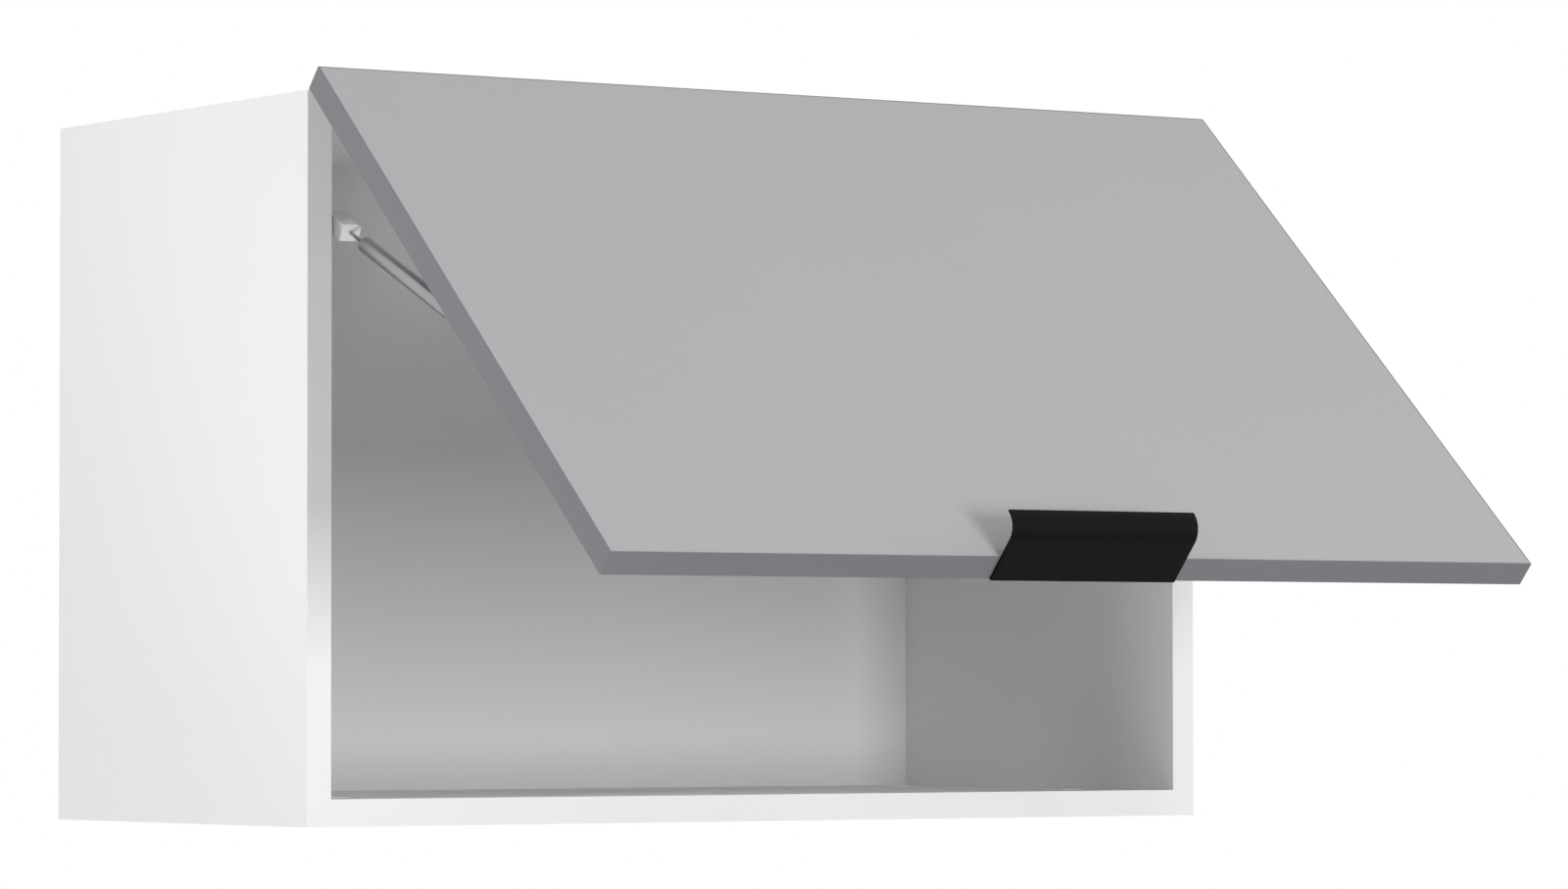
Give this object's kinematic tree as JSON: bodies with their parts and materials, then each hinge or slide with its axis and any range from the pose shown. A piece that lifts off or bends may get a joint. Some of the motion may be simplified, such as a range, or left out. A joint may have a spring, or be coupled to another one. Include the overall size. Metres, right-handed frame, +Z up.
{
  "type": "lift up wall cabinet",
  "caption": "White wall cabinet with a grey flap hinged along its top edge, held open by gas struts and opened with a black edge pull under the flap.",
  "frame": {"origin": "on the wall plane, midway between the two hanger hooks, at the height on which they bear", "axes": "+X to the right seen from the room, +Y into the wall, +Z up; the cabinet's front faces -Y"},
  "size_m": [0.6, 0.6141, 0.4117],
  "materials": {
    "carcass_board": "satin white melamine on chipboard",
    "back_board": "white lacquered fibreboard",
    "carcass_band": "satin white",
    "flap_board": "super matte grey",
    "flap_band": "matte darker grey",
    "black_metal": "matte black coated",
    "dowel_wood": "bare beech",
    "bumper_plastic": "clear soft plastic",
    "white_plastic": "moulded",
    "socket_plastic": "moulded nylon",
    "gland_plastic": "moulded black",
    "cast_zinc": "die cast",
    "tube_paint": "light grey painted steel",
    "chromed_steel": "bright",
    "zinc_steel": "zinc plated"
  },
  "bodies": {
    "carcass": {"side_left": "carcass_board", "side_right": "carcass_board", "top_panel": "carcass_board", "bottom_panel": "carcass_board", "back_panel": "back_board", "carcass_edge_bands": "carcass_band", "cam_housings": "cast_zinc", "cam_bolts": "cast_zinc", "wood_dowels": "dowel_wood", "cam_covers": "white_plastic", "hanger_case_left": "white_plastic", "hanger_case_right": "white_plastic", "hanger_hook_left": "zinc_steel", "hanger_hook_right": "zinc_steel", "hanger_screws": "zinc_steel", "hinge_top_leaf_left": "zinc_steel", "hinge_top_leaf_right": "zinc_steel", "hinge_pin_left": "zinc_steel", "hinge_pin_right": "zinc_steel", "hinge_top_screws": "zinc_steel", "strut_side_plate_left": "zinc_steel", "strut_side_plate_right": "zinc_steel", "strut_side_stud_left": "chromed_steel", "strut_side_stud_right": "chromed_steel", "strut_side_screws": "zinc_steel"},
    "flap": {"flap_panel": "flap_board", "flap_edge_bands": "flap_band", "edge_pull": "black_metal", "edge_pull_screws": "black_metal", "flap_bumpers": "bumper_plastic", "hinge_flap_leaf_left": "zinc_steel", "hinge_flap_leaf_right": "zinc_steel", "hinge_flap_screws": "zinc_steel", "strut_flap_bracket_left": "zinc_steel", "strut_flap_bracket_right": "zinc_steel", "strut_ball_stud_left": "chromed_steel", "strut_ball_stud_right": "chromed_steel", "strut_flap_screws": "zinc_steel"},
    "rod_left": {"strut_rod_left": "chromed_steel", "strut_rod_socket_left": "socket_plastic"},
    "tube_left": {"strut_tube_left": "tube_paint", "strut_tube_socket_left": "socket_plastic", "strut_gland_left": "gland_plastic"},
    "rod_right": {"strut_rod_right": "chromed_steel", "strut_rod_socket_right": "socket_plastic"},
    "tube_right": {"strut_tube_right": "tube_paint", "strut_tube_socket_right": "socket_plastic", "strut_gland_right": "gland_plastic"}
  },
  "joints": [
    {"name": "flap_hinge", "type": "hinge", "parent": "carcass", "child": "flap", "pos_m": [0, -0.29275, 0.05], "axis": [-1, 0, 0], "range_deg": [-48, 22]},
    {"name": "rod_swing_left", "type": "hinge", "parent": "flap", "child": "rod_left", "pos_m": [-0.2645, -0.45262, -0.10572], "axis": [-1, 0, 0], "range_deg": [-7.1, 3.3]},
    {"name": "tube_slide_left", "type": "slide", "parent": "rod_left", "child": "tube_left", "axis": [-0.0425, 0.8987, 0.4364], "range_m": [-0.0486, 0.0223]},
    {"name": "rod_swing_right", "type": "hinge", "parent": "flap", "child": "rod_right", "pos_m": [0.2645, -0.45262, -0.10572], "axis": [-1, 0, 0], "range_deg": [-7.1, 3.3]},
    {"name": "tube_slide_right", "type": "slide", "parent": "rod_right", "child": "tube_right", "axis": [0.0425, 0.8987, 0.4364], "range_m": [-0.0486, 0.0223]}
  ],
  "couplings": [
    {"joint": "rod_swing_left", "follows": "flap_hinge", "ratio": 0.1461},
    {"joint": "tube_slide_left", "follows": "flap_hinge", "m_per_rad": 0.05787},
    {"joint": "rod_swing_right", "follows": "flap_hinge", "ratio": 0.1461},
    {"joint": "tube_slide_right", "follows": "flap_hinge", "m_per_rad": 0.05787}
  ]
}
